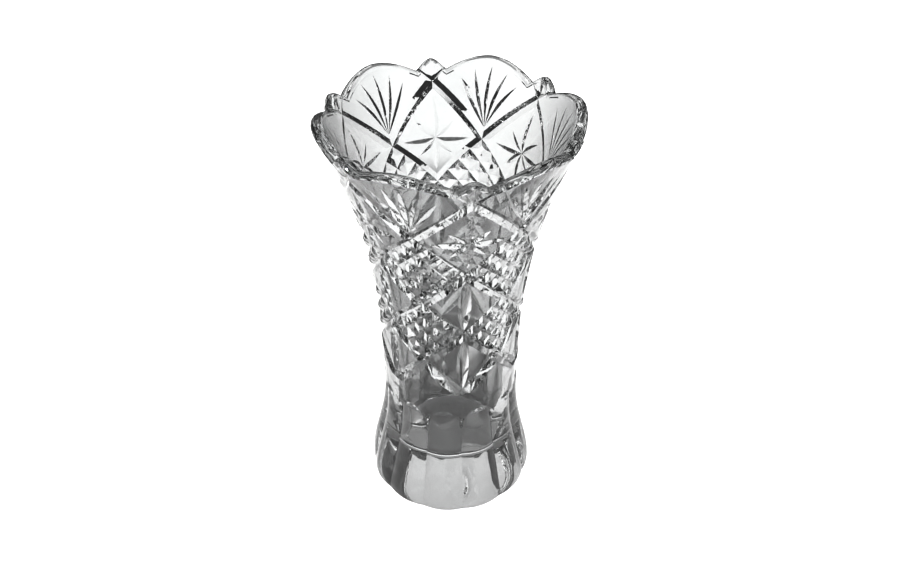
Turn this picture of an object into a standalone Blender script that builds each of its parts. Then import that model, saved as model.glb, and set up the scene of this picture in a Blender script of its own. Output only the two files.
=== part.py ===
"""Cut crystal vase: one thick-walled piece of glass, six-fold, with a scalloped rim.

The blank is turned from one closed profile.  Its rim band is then drawn up and
down into six scallops with a small peaked nub between each two, and its foot is
pressed into twelve round-topped lobes under a plain band.  Last, twelve V-shaped wheel cuts run down the wall,
six of each hand, and make the diamond lattice.  Each cut starts in the notch
beside a nub and ends half a turn further round, where it meets its mirror image.

Units are metres, +Z is up, and the origin is the centre of the base, on the
surface that the vase stands on.  A nub faces -Y.
"""
import math

import bmesh
import bpy

MM = 0.001

# ---------------------------------------------------------------- dimensions
FOLD = 6                          # scallops, and nubs between them
LOBES = 2 * FOLD                  # lobes round the foot

# heights above the table
Z_ARCH = 200.0 * MM               # crown of a scallop
Z_NUB = 198.0 * MM                # tip of a nub
Z_NOTCH = 193.4 * MM              # notch between nub and scallop
NOTCH_ANGLE = 7.2                 # degrees from the nub's middle to the notch
ROW_TOP = 187.7 * MM              # lattice crossing under a nub
LATTICE_DROP = (23.0, 19.6, 18.3, 16.4, 17.3, 17.8)   # mm from row to row, going down
Z_WAIST = 58.2 * MM               # narrowest place
Z_FOOT = 8.1 * MM                 # widest place of the foot
Z_FLOOR = 27.0 * MM               # cavity floor

# radii of the outer wall
R_RIM = 56.8 * MM
R_WAIST = 31.5 * MM
R_FOOT = 38.9 * MM
R_STAND = 29.4 * MM               # edge of the flat that the vase stands on
HEEL_POWER = 2.0                  # how round the heel is
FLARE_POWER = 2.72                # how late the wall flares towards the rim

WALL_RIM = 5.2 * MM               # wall thickness under the rounded rim
WALL_WAIST = 6.4 * MM             # wall thickness at the waist
FLOOR_CORNER = 7.0 * MM           # radius where the cavity wall meets its floor

LOBE_DEPTH = 2.0 * MM             # depth of the valley between two lobes
LOBE_TOP = 62.5 * MM              # round top of a lobe, at its middle
LOBE_ARCH = 11.0 * MM             # how much lower that top is at the valleys
BAND_DEPTH = 0.7 * MM             # plain band over the lobes, below the turned wall
BAND_TOP = 75.6 * MM              # step where the plain band ends

CUT_WIDTH = 4.2 * MM              # lattice cut across its mouth
CUT_DEPTH = {1: 1.9 * MM, -1: 1.8 * MM}    # one hand is cut first, and slightly deeper
CUT_TURN = {1: 0.31, -1: 0.17}    # degrees that each hand of cuts sits off the facets

STEPS = 60                        # facets round the blank, ten to each scallop


# ------------------------------------------------------------------ geometry
def smooth(t):
    t = min(max(t, 0.0), 1.0)
    return t * t * (3.0 - 2.0 * t)


def outer_radius(z):
    """Outer wall: heel, foot, waist and flare in one smooth line."""
    if z >= Z_WAIST:
        u = (z - Z_WAIST) / (Z_ARCH - Z_WAIST)
        return R_WAIST + (R_RIM - R_WAIST) * u ** FLARE_POWER
    if z >= Z_FOOT:
        v = (Z_WAIST - z) / (Z_WAIST - Z_FOOT)
        return R_WAIST + (R_FOOT - R_WAIST) * smooth(v ** 1.2)
    t = z / Z_FOOT                # a rounded heel, steep at the table
    return R_STAND + (R_FOOT - R_STAND) * (1.0 - (1.0 - t) ** HEEL_POWER)


def inner_radius(z):
    """Cavity wall above its rounded floor corner."""
    t = smooth((z - Z_WAIST) / (ROW_TOP - Z_WAIST))
    wall = WALL_WAIST + (WALL_RIM - WALL_WAIST) * t
    if z < Z_WAIST:               # the cavity goes straight down inside the foot
        return R_WAIST - WALL_WAIST - 0.035 * (Z_WAIST - z)
    return outer_radius(z) - wall


def fold_angle(phi, period):
    """Angle from the nearest multiple of period, in degrees, never negative."""
    a = phi % period
    return min(a, period - a)


def rim_height(phi):
    a = fold_angle(phi, 360.0 / FOLD)
    if a < NOTCH_ANGLE:
        return Z_NUB - (Z_NUB - Z_NOTCH) * (a / NOTCH_ANGLE) ** 1.6
    u = (180.0 / FOLD - a) / (180.0 / FOLD - NOTCH_ANGLE)
    return Z_ARCH - (Z_ARCH - Z_NOTCH) * u ** 1.7


def foot_recess(phi, z):
    """How far the foot lies inside the turned wall: valleys between lobes, and the plain band."""
    a = fold_angle(phi, 360.0 / LOBES) / (180.0 / LOBES)      # 0 in a valley, 1 on a lobe
    valley = LOBE_DEPTH * (1.0 - a) ** 1.8
    valley *= 0.40 + 0.60 * smooth((z - 4.0 * MM) / (16.0 * MM))
    top = LOBE_TOP - LOBE_ARCH * (1.0 - math.sqrt(1.0 - (1.0 - a) ** 2))
    if z <= top:
        return valley
    fade = smooth((z - top) / (4.0 * MM))
    return BAND_DEPTH * smooth((z - top) / (1.4 * MM)) * fade + valley * (1.0 - fade)


def blank_profile():
    """Half section of the blank: cavity floor, cavity wall, rim, outer wall, base."""
    pts = [(0.0, Z_FLOOR)]
    r_floor = inner_radius(Z_FLOOR + FLOOR_CORNER)
    pts.append((r_floor - FLOOR_CORNER, Z_FLOOR))
    for i in range(1, 4):
        a = math.radians(90.0 * i / 3)
        pts.append((r_floor - FLOOR_CORNER * (1.0 - math.sin(a)),
                    Z_FLOOR + FLOOR_CORNER * (1.0 - math.cos(a))))
    half = WALL_RIM / 2.0
    z_round = Z_ARCH - half       # where the rounded rim starts
    heights = [Z_WAIST]
    n = 9
    heights += [Z_WAIST + (z_round - Z_WAIST) * (i / n) ** 0.8 for i in range(1, n + 1)]
    for z in heights:
        pts.append((inner_radius(z), z))
    r_mid = (inner_radius(z_round) + outer_radius(z_round)) / 2.0
    for i in range(1, 4):         # rounded rim
        a = math.radians(180.0 - 180.0 * i / 4)
        pts.append((r_mid + half * math.cos(a), z_round + half * math.sin(a)))
    n = 12
    for i in range(n + 1):        # outer wall, going down to the step over the band
        z = z_round - (z_round - BAND_TOP) * i / n
        pts.append((outer_radius(z), z))
    for z in (BAND_TOP - 0.9 * MM, LOBE_TOP + 3.2 * MM, LOBE_TOP, LOBE_TOP - 3.0 * MM, Z_WAIST):
        pts.append((outer_radius(z), z))
    n = 5
    for i in range(1, n + 1):
        z = Z_WAIST - (Z_WAIST - Z_FOOT) * i / n
        pts.append((outer_radius(z), z))
    for k in (0.66, 0.40, 0.18, 0.0):
        z = Z_FOOT * k
        pts.append((outer_radius(z), z))
    pts.append((0.0, 0.0))
    return pts


# --------------------------------------------------------------- scene set-up
for ob in list(bpy.data.objects):
    bpy.data.objects.remove(ob, do_unlink=True)

vase_coll = bpy.data.collections.new("cut_crystal_vase")
cutter_coll = bpy.data.collections.new("cutters")
bpy.context.scene.collection.children.link(vase_coll)
bpy.context.scene.collection.children.link(cutter_coll)


def glass_material():
    mat = bpy.data.materials.new("crystal_glass")
    mat.use_nodes = True
    bsdf = mat.node_tree.nodes["Principled BSDF"]
    bsdf.inputs["Base Color"].default_value = (0.90, 0.91, 0.91, 1.0)
    bsdf.inputs["Roughness"].default_value = 0.02
    bsdf.inputs["Metallic"].default_value = 0.0
    bsdf.inputs["IOR"].default_value = 1.54
    bsdf.inputs["Transmission Weight"].default_value = 1.0
    return mat


# ----------------------------------------------------------------- the blank
def turned_blank():
    pts = blank_profile()
    mesh = bpy.data.meshes.new("vase_body")
    mesh.from_pydata([(r, 0.0, z) for r, z in pts],
                     [(i, i + 1) for i in range(len(pts) - 1)], [])
    ob = bpy.data.objects.new("vase_body", mesh)
    vase_coll.objects.link(ob)
    screw = ob.modifiers.new("turn", 'SCREW')
    screw.axis = 'Z'
    screw.angle = math.radians(360.0)
    screw.steps = STEPS
    screw.render_steps = STEPS
    screw.use_merge_vertices = True
    screw.merge_threshold = 0.00005
    screw.use_smooth_shade = False
    return ob


def bake(ob):
    """Replace an object's mesh by its evaluated one, without its modifiers."""
    deps = bpy.context.evaluated_depsgraph_get()
    done = bpy.data.meshes.new_from_object(ob.evaluated_get(deps))
    ob.modifiers.clear()
    old = ob.data
    ob.data = done
    bpy.data.meshes.remove(old)
    done.name = ob.name


def press(ob):
    """Draw the rim into scallops and nubs, and press the lobes into the foot."""
    lo = ROW_TOP - 4.0 * MM       # below this the wall stays round
    for v in ob.data.vertices:
        x, y, z = v.co
        r = math.hypot(x, y)
        if r < 1e-6:
            continue
        phi = math.degrees(math.atan2(x, -y))      # 0 at the nub that faces -Y
        if z > lo:
            z2 = lo + (z - lo) * (rim_height(phi) - lo) / (Z_ARCH - lo)
            r += outer_radius(z2) - outer_radius(z)
            z = z2
        elif z < BAND_TOP - 0.1 * MM and r > outer_radius(z) - 1.0 * MM:
            r -= foot_recess(phi, z)
        s = r / math.hypot(x, y)
        v.co = (x * s, y * s, z)


# ------------------------------------------------------------- lattice cuts
def row_height(k):
    """Height of the lattice line after k rows, straight between rows."""
    if k <= 0.0:
        return ROW_TOP - k * LATTICE_DROP[0] * MM
    z = ROW_TOP
    for i, drop in enumerate(LATTICE_DROP):
        part = min(max(k - i, 0.0), 1.0)
        z -= part * drop * MM
    return z


def cut_along(name, start, hand):
    """One V cut: a square-section bar, one corner inwards, laid along its line."""
    depth = CUT_DEPTH[hand]
    corner = depth + CUT_WIDTH / 2.0          # the bar stands this far out of the wall
    curve = bpy.data.curves.new(name, 'CURVE')
    curve.dimensions = '3D'
    curve.twist_mode = 'Z_UP'
    curve.bevel_depth = corner
    curve.bevel_resolution = 0
    curve.use_fill_caps = True
    n = 20
    first, last = -0.52, 5.93
    spline = curve.splines.new('POLY')
    spline.points.add(n)
    for i in range(n + 1):
        k = first + (last - first) * i / n
        z = row_height(k)
        phi = math.radians(start + CUT_TURN[hand] + hand * 30.0 * k)
        r = outer_radius(z) + corner - depth
        spline.points[i].co = (r * math.sin(phi), -r * math.cos(phi), z, 1.0)
    tool = bpy.data.objects.new(name + "_curve", curve)
    cutter_coll.objects.link(tool)
    deps = bpy.context.evaluated_depsgraph_get()
    mesh = bpy.data.meshes.new_from_object(tool.evaluated_get(deps))
    bm = bmesh.new()
    bm.from_mesh(mesh)
    bmesh.ops.remove_doubles(bm, verts=bm.verts, dist=0.00002)
    bmesh.ops.recalc_face_normals(bm, faces=bm.faces)
    bm.to_mesh(mesh)
    bm.free()
    cutter = bpy.data.objects.new(name, mesh)
    cutter.matrix_world = tool.matrix_world.copy()
    cutter_coll.objects.link(cutter)
    bpy.data.objects.remove(tool, do_unlink=True)
    cutter.hide_render = True
    cutter.display_type = 'WIRE'
    return cutter


vase = turned_blank()
bake(vase)
press(vase)

for hand, side in ((1, "right"), (-1, "left")):
    for i in range(FOLD):
        cutter = cut_along("cut_%s_%d" % (side, i + 1), 60.0 * i, hand)
        mod = vase.modifiers.new("lattice_%s_%d" % (side, i + 1), 'BOOLEAN')
        mod.operation = 'DIFFERENCE'
        mod.solver = 'EXACT'
        mod.object = cutter

vase.data.materials.clear()
vase.data.materials.append(glass_material())
vase.data.shade_smooth()
vase.data.set_sharp_from_angle(angle=math.radians(25.0))
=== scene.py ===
"""Looks of the cut crystal vase: the finished glass with all its cuts, a pale table, soft studio light and a camera.

The glass is built in one sector of thirty degrees, between the middle of a nub and the middle of a scallop.  The
sector starts as a thick curved slab of the turned wall, its rim already drawn into nub and scallop and its foot
already lobed.  V-edged cuts are then taken out of it with exact Booleans, so every facet and every sharp ridge
between two cuts is real geometry.  The sector is trimmed on its two mirror planes, mirrored, and turned six times.
Everything is worked in millimetres and scaled to metres at the end.
"""

import math

import bmesh
import bpy
from mathutils import Matrix, Vector


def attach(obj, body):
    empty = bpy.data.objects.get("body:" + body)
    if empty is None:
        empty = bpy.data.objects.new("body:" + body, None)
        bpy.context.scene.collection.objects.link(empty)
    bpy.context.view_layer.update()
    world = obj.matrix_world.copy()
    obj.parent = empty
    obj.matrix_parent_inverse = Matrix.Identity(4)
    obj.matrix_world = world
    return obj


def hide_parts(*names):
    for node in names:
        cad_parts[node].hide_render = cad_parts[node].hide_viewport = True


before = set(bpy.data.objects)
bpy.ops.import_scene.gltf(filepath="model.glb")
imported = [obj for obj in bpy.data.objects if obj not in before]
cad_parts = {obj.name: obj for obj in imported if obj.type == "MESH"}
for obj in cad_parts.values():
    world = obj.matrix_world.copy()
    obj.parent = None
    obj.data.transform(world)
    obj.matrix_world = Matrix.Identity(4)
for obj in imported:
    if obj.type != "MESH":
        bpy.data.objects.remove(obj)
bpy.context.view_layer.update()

# ------------------------------------------------------------------ dimensions, mm and degrees
Z_ARCH, Z_NUB, Z_NOTCH, NOTCH = 200.0, 198.0, 193.4, 7.2
ROWS = (187.7, 164.7, 145.1, 126.8, 110.4, 93.1, 75.3)          # lattice crossings A to G
Z_WAIST, Z_FOOT, Z_FLOOR = 58.2, 8.1, 27.0
R_RIM, R_WAIST, R_FOOT, R_STAND = 56.8, 31.5, 38.9, 29.4
HEEL_POWER, FLARE_POWER = 2.0, 2.72
WALL_RIM, WALL_WAIST, CORNER = 5.2, 6.4, 7.0
RING = 75.6                     # step under the lattice, where the lobed foot begins
ARCH_TOP = 62.5                 # top of a lobe's arch
LOBE, BAND = 2.0, 0.7           # depth of the valley between two lobes, and of the plain band over them
R_CORE = 8.0                    # the two discs inside this radius are filled at the end
Z_DRAW = ROWS[0] - 4.0          # above this height the wall is drawn into the scallops


def smooth(t):
    t = min(max(t, 0.0), 1.0)
    return t * t * (3.0 - 2.0 * t)


def outer_radius(z):
    if z >= Z_WAIST:
        u = (z - Z_WAIST) / (Z_ARCH - Z_WAIST)
        return R_WAIST + (R_RIM - R_WAIST) * u ** FLARE_POWER
    if z >= Z_FOOT:
        v = (Z_WAIST - z) / (Z_WAIST - Z_FOOT)
        return R_WAIST + (R_FOOT - R_WAIST) * smooth(v ** 1.2)
    t = max(z, 0.0) / Z_FOOT
    return R_STAND + (R_FOOT - R_STAND) * (1.0 - (1.0 - t) ** HEEL_POWER)


def inner_radius(z):
    if z < Z_WAIST:
        return R_WAIST - WALL_WAIST - 0.035 * (Z_WAIST - z)
    t = smooth((z - Z_WAIST) / (ROWS[0] - Z_WAIST))
    return outer_radius(z) - (WALL_WAIST + (WALL_RIM - WALL_WAIST) * t)


def fold(phi, period):
    a = phi % period
    return min(a, period - a)


def rim_height(phi):
    a = fold(phi, 60.0)
    if a < NOTCH:
        return Z_NUB - (Z_NUB - Z_NOTCH) * (a / NOTCH) ** 1.6
    u = (30.0 - a) / (30.0 - NOTCH)
    return Z_ARCH - (Z_ARCH - Z_NOTCH) * u ** 1.7


def foot_recess(phi, z):
    """How far the foot's surface lies inside the turned outline: valleys between lobes, and the plain band."""
    if z > RING:
        return 0.0
    a = fold(phi, 30.0) / 15.0                      # 0 in a valley, 1 on the middle of a lobe
    valley = LOBE * (1.0 - a) ** 1.8
    valley *= 0.40 + 0.60 * smooth((z - 4.0) / 16.0)
    arch = ARCH_TOP - 11.0 * (1.0 - math.sqrt(max(0.0, 1.0 - (1.0 - a) ** 2)))
    if z <= arch:
        return valley
    step = smooth((z - arch) / 1.4)
    return min(1.0, (RING - z) / 0.9) * (BAND * step + max(0.0, valley - BAND * step) * (1.0 - smooth((z - arch) / 4.0)))


def surface(phi, z):
    """Point of the turned outer wall in mm, with its unit normal."""
    r = outer_radius(z)
    dr = (outer_radius(z + 0.05) - outer_radius(z - 0.05)) / 0.1
    a = math.radians(phi)
    out = Vector((math.sin(a), -math.cos(a), 0.0))
    return out * r + Vector((0.0, 0.0, z)), (out - Vector((0.0, 0.0, dr))).normalized()


# ------------------------------------------------------------------ the sector before it is cut
def profile_rows():
    """The half section as (radius, height, kind), from the floor up the inside, over the rim and down to the base."""
    rows = []
    wall = inner_radius(Z_FLOOR + CORNER)
    for k in range(5):
        rows.append((R_CORE + (wall - CORNER - R_CORE) * k / 4, Z_FLOOR, "in"))
    for k in range(1, 9):
        a = math.radians(90.0 * k / 8)
        rows.append((wall - CORNER * (1.0 - math.sin(a)), Z_FLOOR + CORNER * (1.0 - math.cos(a)), "in"))
    half = WALL_RIM / 2.0
    top = Z_ARCH - half
    n = 44
    for k in range(1, n + 1):
        z = Z_FLOOR + CORNER + (top - Z_FLOOR - CORNER) * k / n
        rows.append((inner_radius(z), z, "in"))
    mid = (inner_radius(top) + outer_radius(top)) / 2.0
    for k in range(1, 10):
        a = math.radians(180.0 - 18.0 * k)
        rows.append((mid + half * math.cos(a), top + half * math.sin(a), "rim"))
    n = 40
    for k in range(n + 1):
        z = top - (top - RING - 0.1) * k / n
        rows.append((outer_radius(z), z, "out"))
    heights = [RING - 0.45, RING - 0.9]
    n = 26
    heights += [RING - 1.4 - (RING - 1.4 - 52.0) * k / n for k in range(n + 1)]
    n = 16
    heights += [52.0 - (52.0 - Z_FOOT) * k / n for k in range(1, n + 1)]
    heights += [Z_FOOT * f for f in (0.86, 0.72, 0.58, 0.45, 0.33, 0.22, 0.12, 0.05, 0.0)]
    for z in heights:
        rows.append((outer_radius(z), z, "foot"))
    for k in range(1, 4):
        rows.append((R_STAND + (R_CORE - R_STAND) * k / 3, 0.0, "base"))
    return rows


STEP = 1.25
COLS = [STEP * k for k in range(-3, 28)]            # -3.75 to 33.75 degrees


def sector_mesh():
    rows = profile_rows()
    verts = []
    for phi in COLS:
        a = math.radians(phi)
        rim = rim_height(phi)
        for r, z, kind in rows:
            if kind in ("in", "rim", "out") and z > Z_DRAW:
                z2 = Z_DRAW + (z - Z_DRAW) * (rim - Z_DRAW) / (Z_ARCH - Z_DRAW)
                r += outer_radius(z2) - outer_radius(z)
                z = z2
            elif kind == "foot":
                r -= foot_recess(phi, z)
            verts.append((r * math.sin(a), -r * math.cos(a), z))
    n, m = len(rows), len(COLS)
    faces = []
    for c in range(m - 1):
        for k in range(n):
            k2 = (k + 1) % n                         # the last span closes the slab at the core
            faces.append((c * n + k, c * n + k2, (c + 1) * n + k2, (c + 1) * n + k))
    faces.append([k for k in range(n)][::-1])
    faces.append([(m - 1) * n + k for k in range(n)])
    mesh = bpy.data.meshes.new("sector")
    mesh.from_pydata(verts, [], faces)
    bm = bmesh.new()
    bm.from_mesh(mesh)
    bmesh.ops.recalc_face_normals(bm, faces=bm.faces)
    bm.to_mesh(mesh)
    bm.free()
    return mesh


# ------------------------------------------------------------------ the cuts
cutters = []


def v_cut(name, path, depths, slope, lift=2.6):
    """A V-edged cut along a path of (angle, height) points: depth below the wall at each, slope = half width / depth."""
    verts, faces = [], []
    pts = [surface(*p) for p in path]
    for i, (p, nrm) in enumerate(pts):
        a, b = pts[max(i - 1, 0)][0], pts[min(i + 1, len(pts) - 1)][0]
        side = (b - a).cross(nrm).normalized()
        d = depths[i]
        w = (d + lift) * slope
        verts += [p - nrm * d, p + nrm * lift + side * w, p + nrm * lift - side * w]
    for i in range(len(pts) - 1):
        k = 3 * i
        for s in range(3):
            t = (s + 1) % 3
            faces.append((k + s, k + t, k + 3 + t, k + 3 + s))
    faces.append((0, 1, 2))
    faces.append((len(verts) - 1, len(verts) - 2, len(verts) - 3))
    mesh = bpy.data.meshes.new(name)
    mesh.from_pydata([tuple(v) for v in verts], [], faces)
    bm = bmesh.new()
    bm.from_mesh(mesh)
    bmesh.ops.recalc_face_normals(bm, faces=bm.faces)
    bm.to_mesh(mesh)
    bm.free()
    ob = bpy.data.objects.new(name, mesh)
    bpy.context.scene.collection.objects.link(ob)
    cutters.append(ob)


def line(p, q, n):
    return [(p[0] + (q[0] - p[0]) * k / n, p[1] + (q[1] - p[1]) * k / n) for k in range(n + 1)]


def lens(n, peak, top, start=-0.12, end=-0.12):
    """Depths along a lens cut: start and end lie just over the wall, top is the deepest, at the fraction peak."""
    out = []
    for k in range(n + 1):
        s = k / n
        if s < peak:
            out.append(top - (top - start) * ((peak - s) / peak) ** 2)
        else:
            out.append(top - (top - end) * ((s - peak) / (1.0 - peak)) ** 2)
    return out


def row_height(k):
    if k < 0.0:
        return ROWS[0] - k * (ROWS[0] - ROWS[1])
    i = min(int(k), 5)
    return ROWS[i] + (ROWS[i + 1] - ROWS[i]) * (k - i)


def lattice(name, start, hand, k0, k1, depth):
    n = max(8, int(round((k1 - k0) * 12)))
    path, deps = [], []
    for i in range(n + 1):
        k = k0 + (k1 - k0) * i / n
        path.append((start + hand * 30.0 * k, row_height(k)))
        swell = math.sin(math.pi * (k - 5.0)) if k > 5.0 else 0.0
        if k < 0.0:                                  # only a fine line runs on to the notch beside the nub
            deps.append(max(0.38, depth * (1.0 + k / 0.16)))
        else:
            deps.append(depth + 0.55 * max(swell, 0.0) - (0.25 if k > 5.98 else 0.0))
    v_cut(name, path, deps, 1.42)


DR, DL = 1.66, 1.61                 # the two hands of the lattice
lattice("lat_1", 0.0, 1, -0.36, 1.5, DR)
lattice("lat_2", 0.0, -1, -0.36, 0.5, DL)
lattice("lat_3", 60.0, -1, 0.5, 2.5, DL)
lattice("lat_4", -60.0, 1, 1.5, 3.5, DR)
lattice("lat_5", 120.0, -1, 2.5, 4.5, DL)
lattice("lat_6", -120.0, 1, 3.5, 5.5, DR)
lattice("lat_7", 180.0, -1, 4.5, 6.02, DL)
lattice("lat_8", -180.0, 1, 5.5, 6.03, DR)


def spot(phi, z, du, dv):
    """Angle and height reached from (phi, z) by going du mm round and dv mm up the wall."""
    return phi + math.degrees(du / outer_radius(z + 0.5 * dv)), z + dv


# eight-armed star in each diamond under a nub
STAR = (0.0, 164.3)
ARMS = [(0, 17.8, 1.0), (180, 14.6, 0.98), (90, 16.0, 0.98), (-90, 16.0, 0.96),
        (50, 11.4, 0.8), (-50, 11.4, 0.78), (132, 10.6, 0.8), (-132, 10.6, 0.78)]
for i, (ang, length, deep) in enumerate(ARMS):
    a = math.radians(ang)
    du, dv = math.sin(a), math.cos(a)
    path = [spot(STAR[0], STAR[1], du * s, dv * s) for s in
            [-0.5 + (length + 0.5) * k / 10 for k in range(11)]]
    v_cut("star_%d" % i, path, lens(10, 0.42, deep, 0.2, -0.1), 2.0 if i < 4 else 1.85, 1.2)

# one long lens cut in each of the two plain diamonds below the star
v_cut("lens_1", line((0.0, 143.4), (0.0, 112.0), 16), lens(16, 0.5, 2.05), 1.52)
v_cut("lens_2", line((0.0, 108.6), (0.0, 77.4), 16), lens(16, 0.5, 1.95), 1.5)

# small pyramids: three cuts each way across the two diamonds under a scallop
for d, (top, left, bottom, deep, slope) in enumerate((
        (ROWS[1], ROWS[2], ROWS[3], 1.72, 1.74), (ROWS[3], ROWS[4], ROWS[5], 1.55, 1.68))):
    for j in (1, 2, 3):
        f = j / 4.0
        za, zb = top - (top - left) * f, left - (left - bottom) * f
        n = 10
        p, q = (30.0 - 30.0 * f, za), (60.0 - 30.0 * f, zb)
        v_cut("pyr_r%d_%d" % (d, j), line(p, q, n), [deep] * (n + 1), slope)
        p, q = (30.0 + 30.0 * f, za), (30.0 * f, zb)
        v_cut("pyr_l%d_%d" % (d, j), line(p, q, n), [deep * 0.98] * (n + 1), slope)

# facet down the middle of each nub
v_cut("nub", line((0.0, 188.6), (0.0, 201.0), 10), lens(10, 0.7, 0.95, -0.1, 0.6), 3.0, 1.0)

# fan of five flutes under each scallop
FAN = (30.0, 170.0)
for i, (dphi, z) in enumerate(((0.0, 195.4), (-8.6, 193.4), (8.6, 193.4), (-15.2, 189.2), (15.2, 189.2))):
    n = 12
    v_cut("fan_%d" % i, line((FAN[0] + dphi * 0.03, FAN[1] + 0.1 * i), (FAN[0] + dphi, z), n),
          lens(n, 0.5, 1.1 - 0.02 * i, 0.2, -0.1), 1.55)

sector = bpy.data.objects.new("sector", sector_mesh())
bpy.context.scene.collection.objects.link(sector)
for ob in cutters:
    mod = sector.modifiers.new(ob.name, 'BOOLEAN')
    mod.operation = 'DIFFERENCE'
    mod.solver = 'EXACT'
    mod.object = ob
deps = bpy.context.evaluated_depsgraph_get()
cut_mesh = bpy.data.meshes.new_from_object(sector.evaluated_get(deps))

bm = bmesh.new()
bm.from_mesh(cut_mesh)
bmesh.ops.remove_doubles(bm, verts=bm.verts, dist=0.002)
bmesh.ops.dissolve_degenerate(bm, edges=bm.edges, dist=0.002)
for normal in (Vector((-1.0, 0.0, 0.0)), Vector((math.cos(math.radians(30.0)), math.sin(math.radians(30.0)), 0.0))):
    geom = list(bm.verts) + list(bm.edges) + list(bm.faces)
    bmesh.ops.bisect_plane(bm, geom=geom, dist=0.003, plane_co=(0.0, 0.0, 0.0), plane_no=normal, clear_outer=True)
    for v in bm.verts:                               # what lies on a mirror plane lies on it exactly
        off = v.co.dot(normal)
        if abs(off) < 0.004:
            v.co -= normal * off
core = [f for f in bm.faces if all(math.hypot(v.co.x, v.co.y) < R_CORE + 0.05 for v in f.verts)]
bmesh.ops.delete(bm, geom=core, context='FACES')
bmesh.ops.triangulate(bm, faces=[f for f in bm.faces if len(f.verts) > 4])
bm.verts.index_update()
base_v = [v.co.copy() for v in bm.verts]
base_f = [[v.index for v in f.verts] for f in bm.faces]
bm.free()

verts, faces = [], []
for k in range(6):
    turn = Matrix.Rotation(math.radians(60.0 * k), 4, 'Z')
    for flip in (1.0, -1.0):
        off = len(verts)
        verts += [tuple(turn @ Vector((v.x * flip, v.y, v.z))) for v in base_v]
        faces += [[off + i for i in (f if flip > 0 else f[::-1])] for f in base_f]
glass_mesh = bpy.data.meshes.new("crystal_glass_body")
glass_mesh.from_pydata(verts, [], faces)
bm = bmesh.new()
bm.from_mesh(glass_mesh)
bmesh.ops.remove_doubles(bm, verts=bm.verts, dist=0.006)
open_edges = [e for e in bm.edges if len(e.link_faces) == 1]
bmesh.ops.holes_fill(bm, edges=open_edges, sides=0)
bmesh.ops.triangulate(bm, faces=[f for f in bm.faces if len(f.verts) > 4])
bmesh.ops.recalc_face_normals(bm, faces=bm.faces)
bad = [e for e in bm.edges if len(e.link_faces) != 2]
volume = bm.calc_volume()
bmesh.ops.scale(bm, vec=(0.001, 0.001, 0.001), verts=bm.verts)
bm.to_mesh(glass_mesh)
print("glass: %d verts, %d tris, %d open or shared edges, volume %.1f cm3"
      % (len(bm.verts), sum(len(f.verts) - 2 for f in bm.faces), len(bad), volume / 1000.0))
n_tris = sum(len(f.verts) - 2 for f in bm.faces)
bm.free()
if not 290e3 < volume < 340e3 or not 60000 < n_tris < 200000:
    raise RuntimeError("the cut glass body came out empty or the wrong size")

for ob in cutters + [sector]:
    mesh = ob.data
    bpy.data.objects.remove(ob, do_unlink=True)
    bpy.data.meshes.remove(mesh)
bpy.data.meshes.remove(cut_mesh)

glass = bpy.data.objects.new("crystal_glass_body", glass_mesh)
bpy.context.scene.collection.objects.link(glass)
glass_mesh.shade_smooth()
glass_mesh.set_sharp_from_angle(angle=math.radians(16.0))


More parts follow.
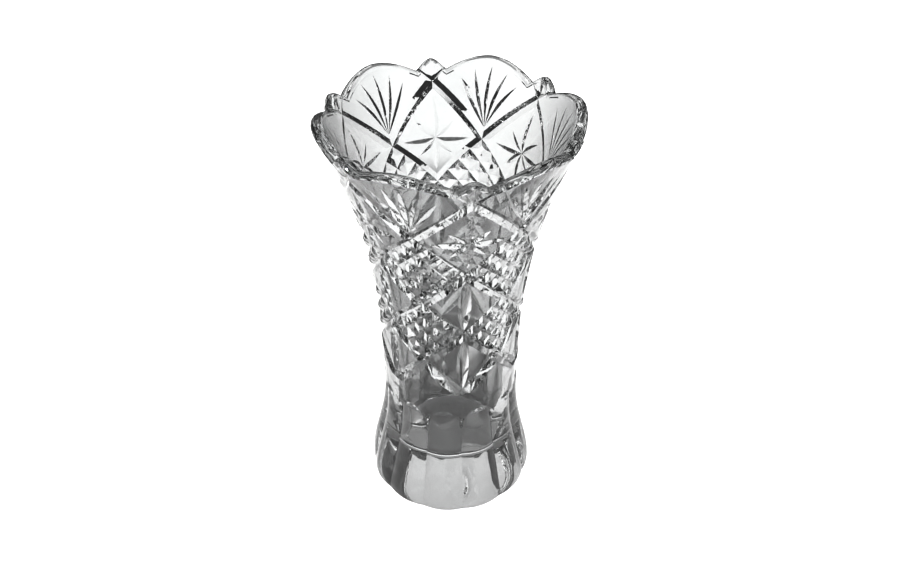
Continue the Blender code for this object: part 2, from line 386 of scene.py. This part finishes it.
# ------------------------------------------------------------------ crystal
def crystal():
    mat = bpy.data.materials.new("cut_crystal")
    mat.use_nodes = True
    nt = mat.node_tree
    nt.nodes.clear()
    out = nt.nodes.new("ShaderNodeOutputMaterial")
    bsdf = nt.nodes.new("ShaderNodeBsdfPrincipled")
    bsdf.inputs["Roughness"].default_value = 0.0
    bsdf.inputs["IOR"].default_value = 1.54
    bsdf.inputs["Transmission Weight"].default_value = 1.0
    coord = nt.nodes.new("ShaderNodeTexCoord")
    # faint streaks in the melt tint the glass a little
    streak = nt.nodes.new("ShaderNodeTexNoise")
    streak.inputs["Scale"].default_value = 38.0
    streak.inputs["Detail"].default_value = 3.0
    ramp = nt.nodes.new("ShaderNodeValToRGB")
    ramp.color_ramp.elements[0].position = 0.30
    ramp.color_ramp.elements[0].color = (0.90, 0.905, 0.905, 1.0)
    ramp.color_ramp.elements[1].position = 0.72
    ramp.color_ramp.elements[1].color = (1.0, 1.0, 1.0, 1.0)
    nt.links.new(coord.outputs["Object"], streak.inputs["Vector"])
    nt.links.new(streak.outputs["Fac"], ramp.inputs["Fac"])
    # painted shade: the glass is tinted grey, and darker still towards grazing angles, down to near black at the
    # outline, so edges and steep facets read dark; a slanted path through the wall is longer, but the darkening goes
    # far beyond what that alone would give
    grazing_shade_weight = nt.nodes.new("ShaderNodeLayerWeight")
    grazing_shade_weight.inputs["Blend"].default_value = 0.5
    # painted shade ramp: grey tint when facing, near black at grazing
    depth = nt.nodes.new("ShaderNodeValToRGB")
    depth.color_ramp.elements[0].position = 0.10
    depth.color_ramp.elements[0].color = (0.70, 0.705, 0.705, 1.0)
    depth.color_ramp.elements[1].position = 1.0
    depth.color_ramp.elements[1].color = (0.08, 0.082, 0.082, 1.0)
    for pos, tone in ((0.28, 0.60), (0.48, 0.42), (0.75, 0.20)):
        stop = depth.color_ramp.elements.new(pos)
        stop.color = (tone, tone, tone, 1.0)
    both = nt.nodes.new("ShaderNodeMix")
    both.data_type = 'RGBA'
    both.blend_type = 'MULTIPLY'
    both.inputs["Factor"].default_value = 1.0
    nt.links.new(grazing_shade_weight.outputs["Facing"], depth.inputs["Fac"])
    nt.links.new(ramp.outputs["Color"], both.inputs[6])
    nt.links.new(depth.outputs["Color"], both.inputs[7])
    nt.links.new(both.outputs[2], bsdf.inputs["Base Color"])
    # wheel and polish marks: a very shallow ripple, and finer polish lines
    ripple = nt.nodes.new("ShaderNodeTexNoise")
    ripple.inputs["Scale"].default_value = 150.0
    ripple.inputs["Detail"].default_value = 4.0
    ripple.inputs["Distortion"].default_value = 0.4
    bump = nt.nodes.new("ShaderNodeBump")
    bump.inputs["Strength"].default_value = 0.03
    bump.inputs["Distance"].default_value = 0.0006
    nt.links.new(coord.outputs["Object"], ripple.inputs["Vector"])
    nt.links.new(ripple.outputs["Fac"], bump.inputs["Height"])
    nt.links.new(bump.outputs["Normal"], bsdf.inputs["Normal"])
    # light passes through to the table, so the shadow stays faint as under clear glass
    path = nt.nodes.new("ShaderNodeLightPath")
    clear = nt.nodes.new("ShaderNodeBsdfTransparent")
    clear.inputs["Color"].default_value = (0.59, 0.59, 0.59, 1.0)
    mix = nt.nodes.new("ShaderNodeMixShader")
    nt.links.new(path.outputs["Is Shadow Ray"], mix.inputs["Fac"])
    nt.links.new(bsdf.outputs["BSDF"], mix.inputs[1])
    nt.links.new(clear.outputs["BSDF"], mix.inputs[2])
    nt.links.new(mix.outputs["Shader"], out.inputs["Surface"])
    return mat


glass_mesh.materials.append(crystal())
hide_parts("vase_body")
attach(glass, "root")


# ------------------------------------------------------------------ table
def table_material():
    mat = bpy.data.materials.new("pale_table")
    mat.use_nodes = True
    nt = mat.node_tree
    bsdf = nt.nodes["Principled BSDF"]
    bsdf.inputs["Roughness"].default_value = 0.75
    bsdf.inputs["Specular Level" if "Specular Level" in bsdf.inputs else "Specular IOR Level"].default_value = 0.2
    noise = nt.nodes.new("ShaderNodeTexNoise")
    noise.inputs["Scale"].default_value = 60.0
    noise.inputs["Detail"].default_value = 6.0
    ramp = nt.nodes.new("ShaderNodeValToRGB")
    ramp.color_ramp.elements[0].color = (0.74, 0.74, 0.74, 1.0)
    ramp.color_ramp.elements[1].color = (0.77, 0.77, 0.77, 1.0)
    nt.links.new(noise.outputs["Fac"], ramp.inputs["Fac"])
    nt.links.new(ramp.outputs["Color"], bsdf.inputs["Base Color"])
    bsdf.inputs["Emission Color"].default_value = (1.0, 1.0, 1.0, 1.0)
    bsdf.inputs["Emission Strength"].default_value = 0.05
    return mat


bm = bmesh.new()
bmesh.ops.create_circle(bm, cap_ends=True, segments=96, radius=0.62)
table_mesh = bpy.data.meshes.new("table_top")
bm.to_mesh(table_mesh)
bm.free()
table = bpy.data.objects.new("table_top", table_mesh)
table.location = (0.07, 0.29, -0.0002)
table_mesh.materials.append(table_material())
bpy.context.scene.collection.objects.link(table)

# ------------------------------------------------------------------ light
world = bpy.data.worlds.new("studio")
bpy.context.scene.world = world
world.use_nodes = True
wnt = world.node_tree
bg = wnt.nodes["Background"]
bg.inputs["Color"].default_value = (0.5, 0.5, 0.5, 1.0)
bg.inputs["Strength"].default_value = 0.26


def softbox(name, loc, size, size_y, radiance, target=(0.0, 0.0, 0.10)):
    lamp = bpy.data.lights.new(name, 'AREA')
    lamp.shape = 'RECTANGLE'
    lamp.size = size
    lamp.size_y = size_y
    lamp.energy = radiance * math.pi * size * size_y
    ob = bpy.data.objects.new(name, lamp)
    ob.location = loc
    ob.rotation_euler = (Vector(target) - Vector(loc)).to_track_quat('-Z', 'Y').to_euler()
    bpy.context.scene.collection.objects.link(ob)
    return ob


# a large soft key from the front and above, so that the vase's own shadow falls behind it
key = bpy.data.lights.new("key", 'SUN')
key.energy = 9.3
key.angle = math.radians(4.0)
key_ob = bpy.data.objects.new("key", key)
key_dir = Vector((-0.166 * 0.770, -0.986 * 0.770, 0.638))
key_ob.rotation_euler = (-key_dir).to_track_quat('-Z', 'Y').to_euler()
key_ob.location = key_dir * 2.0
bpy.context.scene.collection.objects.link(key_ob)

softbox("back_box", (0.0, 1.35, 1.15), 2.0, 0.8, 0.9)
softbox("left_box", (-1.35, 0.05, 0.75), 0.14, 0.8, 0.7)
softbox("right_box", (1.35, 0.25, 0.75), 0.14, 0.8, 0.7)

# ------------------------------------------------------------------ camera
TURN = math.radians(9.55)           # the camera stands a little to the left of the front nub
PITCH = math.radians(37.22)
AWAY, UP = 0.37037, 0.39598
cam_data = bpy.data.cameras.new("camera")
cam_data.sensor_width = 36.0
cam_data.lens = 1043.05 / 900.0 * 36.0
cam_data.clip_start = 0.01
cam_data.shift_x = -0.0005
cam = bpy.data.objects.new("camera", cam_data)
cam.location = (-AWAY * math.sin(TURN), -AWAY * math.cos(TURN), UP)
cam.rotation_euler = (math.radians(90.0) - PITCH, 0.0, -TURN)
bpy.context.scene.collection.objects.link(cam)
bpy.context.scene.camera = cam

scene = bpy.context.scene
scene.view_settings.view_transform = 'Standard'
scene.view_settings.look = 'None'
scene.view_settings.gamma = 0.62          # a contrasty print
scene.cycles.caustics_refractive = False
scene.cycles.caustics_reflective = False
scene.cycles.max_bounces = 24
scene.cycles.transmission_bounces = 24
scene.cycles.glossy_bounces = 12
scene.cycles.transparent_max_bounces = 24
